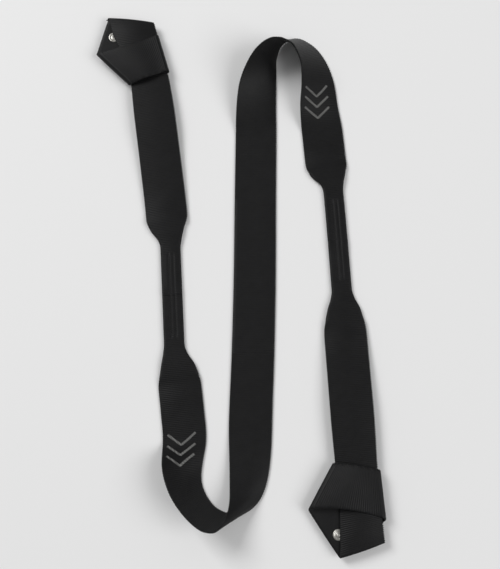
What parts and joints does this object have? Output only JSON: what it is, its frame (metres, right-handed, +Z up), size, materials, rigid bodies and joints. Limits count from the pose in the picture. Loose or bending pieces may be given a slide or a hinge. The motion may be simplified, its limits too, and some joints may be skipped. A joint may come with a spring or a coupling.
{
  "type": "stretching strap",
  "caption": "Flat black woven strap laid in a loose S, with a sewn narrow grip near each end and a snapped, folded slip loop on each end.",
  "frame": {"origin": "middle of the strap's footprint as it lies, on the surface that it lies on", "axes": "+X across the three legs towards the right leg, +Y along the legs towards the left slip loop, +Z up"},
  "size_m": [0.2612, 0.4988, 0.0381],
  "materials": {
    "webbing": "matt black woven webbing with fine cross ribs",
    "seam_thread": "black sewing thread",
    "mark_thread": "grey embroidery thread",
    "snap_metal": "nickel-plated pressed brass"
  },
  "bodies": {
    "centre_run": {"lower_bend_webbing": "webbing", "centre_leg_webbing": "webbing", "upper_bend_webbing": "webbing"},
    "left_run": {"left_leg_webbing": "webbing", "left_neck_webbing": "webbing", "left_neck_stitching": "seam_thread", "left_sewn_mark": "mark_thread", "left_noose_webbing": "webbing"},
    "left_bight": {"left_bight_webbing": "webbing"},
    "left_keeper": {"left_back_webbing": "webbing", "left_band_webbing": "webbing", "left_wrap_webbing": "webbing", "left_snap_stud": "snap_metal", "left_snap_eyelet": "snap_metal"},
    "left_tip": {"left_tip_webbing": "webbing", "left_snap_cap": "snap_metal", "left_snap_socket": "snap_metal"},
    "right_run": {"right_leg_webbing": "webbing", "right_neck_webbing": "webbing", "right_neck_stitching": "seam_thread", "right_sewn_mark": "mark_thread", "right_noose_webbing": "webbing"},
    "right_bight": {"right_bight_webbing": "webbing"},
    "right_keeper": {"right_back_webbing": "webbing", "right_band_webbing": "webbing", "right_wrap_webbing": "webbing", "right_snap_stud": "snap_metal", "right_snap_eyelet": "snap_metal"},
    "right_tip": {"right_tip_webbing": "webbing", "right_snap_cap": "snap_metal", "right_snap_socket": "snap_metal"}
  },
  "joints": [
    {"name": "lower_bend_swing", "type": "hinge", "parent": "centre_run", "child": "left_run", "pos_m": [-0.00494, -0.17587, 0.0008], "axis": [0, 0, 1], "range_deg": [-4, 20], "deforming": ["lower_bend_webbing"]},
    {"name": "upper_bend_swing", "type": "hinge", "parent": "centre_run", "child": "right_run", "pos_m": [0.05006, 0.17913, 0.0008], "axis": [0, 0, 1], "range_deg": [-4, 20], "deforming": ["upper_bend_webbing"]},
    {"name": "left_noose_slide", "type": "slide", "parent": "left_run", "child": "left_bight", "axis": [0.165, -0.9863, 0], "range_m": [-0.005, 0.02], "deforming": ["left_noose_webbing"]},
    {"name": "left_keeper_slide", "type": "slide", "parent": "left_bight", "child": "left_keeper", "axis": [0.165, -0.9863, 0], "range_m": [-0.005, 0.02], "deforming": ["left_back_webbing"]},
    {"name": "left_tip_hinge", "type": "hinge", "parent": "left_keeper", "child": "left_tip", "pos_m": [-0.0694, 0.21242, 0.0061], "axis": [0.284, -0.9588, 0], "range_deg": [0, 120], "deforming": ["left_wrap_webbing"]},
    {"name": "right_noose_slide", "type": "slide", "parent": "right_run", "child": "right_bight", "axis": [-0.0837, 0.9965, 0], "range_m": [-0.005, 0.02], "deforming": ["right_noose_webbing"]},
    {"name": "right_keeper_slide", "type": "slide", "parent": "right_bight", "child": "right_keeper", "axis": [-0.0837, 0.9965, 0], "range_m": [-0.005, 0.02], "deforming": ["right_back_webbing"]},
    {"name": "right_tip_hinge", "type": "hinge", "parent": "right_keeper", "child": "right_tip", "pos_m": [0.12601, -0.19777, 0.0061], "axis": [0.0872, -0.9962, 0], "range_deg": [0, 120], "deforming": ["right_wrap_webbing"]}
  ],
  "couplings": [
    {"joint": "left_keeper_slide", "follows": "left_noose_slide", "ratio": 1},
    {"joint": "right_keeper_slide", "follows": "right_noose_slide", "ratio": 1}
  ]
}
